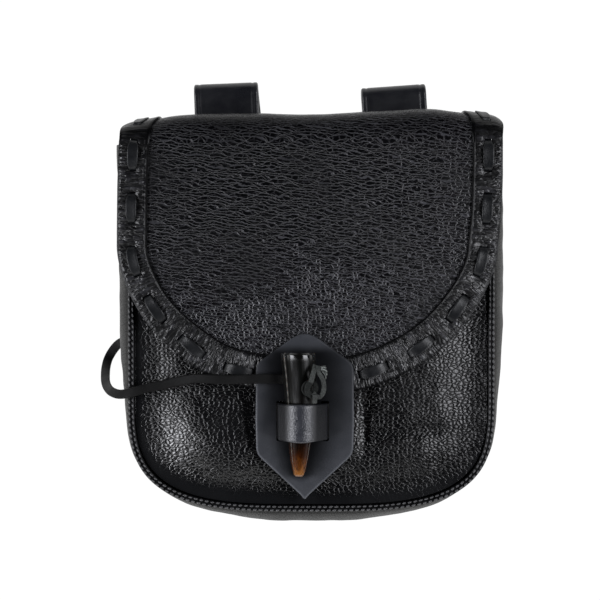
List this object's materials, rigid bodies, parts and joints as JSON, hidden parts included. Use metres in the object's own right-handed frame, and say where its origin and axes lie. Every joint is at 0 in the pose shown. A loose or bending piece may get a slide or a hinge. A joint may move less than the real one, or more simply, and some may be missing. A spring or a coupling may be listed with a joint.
{
  "type": "belt pouch",
  "caption": "Leather belt pouch with a laced rounded flap, hexagonal closure patch, loop and horn toggle on a thong, and folded belt loops.",
  "frame": {"origin": "middle of the footprint of the pouch without its thong, on the surface that it lies on", "axes": "+Z out of the front of the pouch, +Y from its bottom to its belt loops, +X to the right of someone who faces it"},
  "size_m": [0.1823, 0.1996, 0.0764],
  "materials": {
    "pebbled_leather": "black pebble grain, semi-gloss",
    "panel_leather": "black pebble grain, semi-gloss",
    "gusset_leather": "black pebble grain, satin",
    "band_leather": "black grain, puckered, satin",
    "lace_leather": "black smooth lace, satin",
    "smooth_leather": "charcoal smooth leather, matte",
    "strap_leather": "black smooth strap leather, satin",
    "thong_leather": "black smooth thong, matte",
    "horn": "polished dark horn, amber at the tip"
  },
  "bodies": {
    "root": {"back_and_flap": "pebbled_leather", "flap_band": "band_leather", "flap_lace": "lace_leather", "front_panel": "panel_leather", "gusset": "gusset_leather", "front_welt": "panel_leather", "closure_patch": "smooth_leather", "closure_loop": "smooth_leather", "toggle": "horn", "toggle_thong": "thong_leather", "thong_knot": "thong_leather", "thong_stop_knot": "thong_leather", "belt_loop_left": "strap_leather", "belt_loop_right": "strap_leather"}
  },
  "joints": []
}
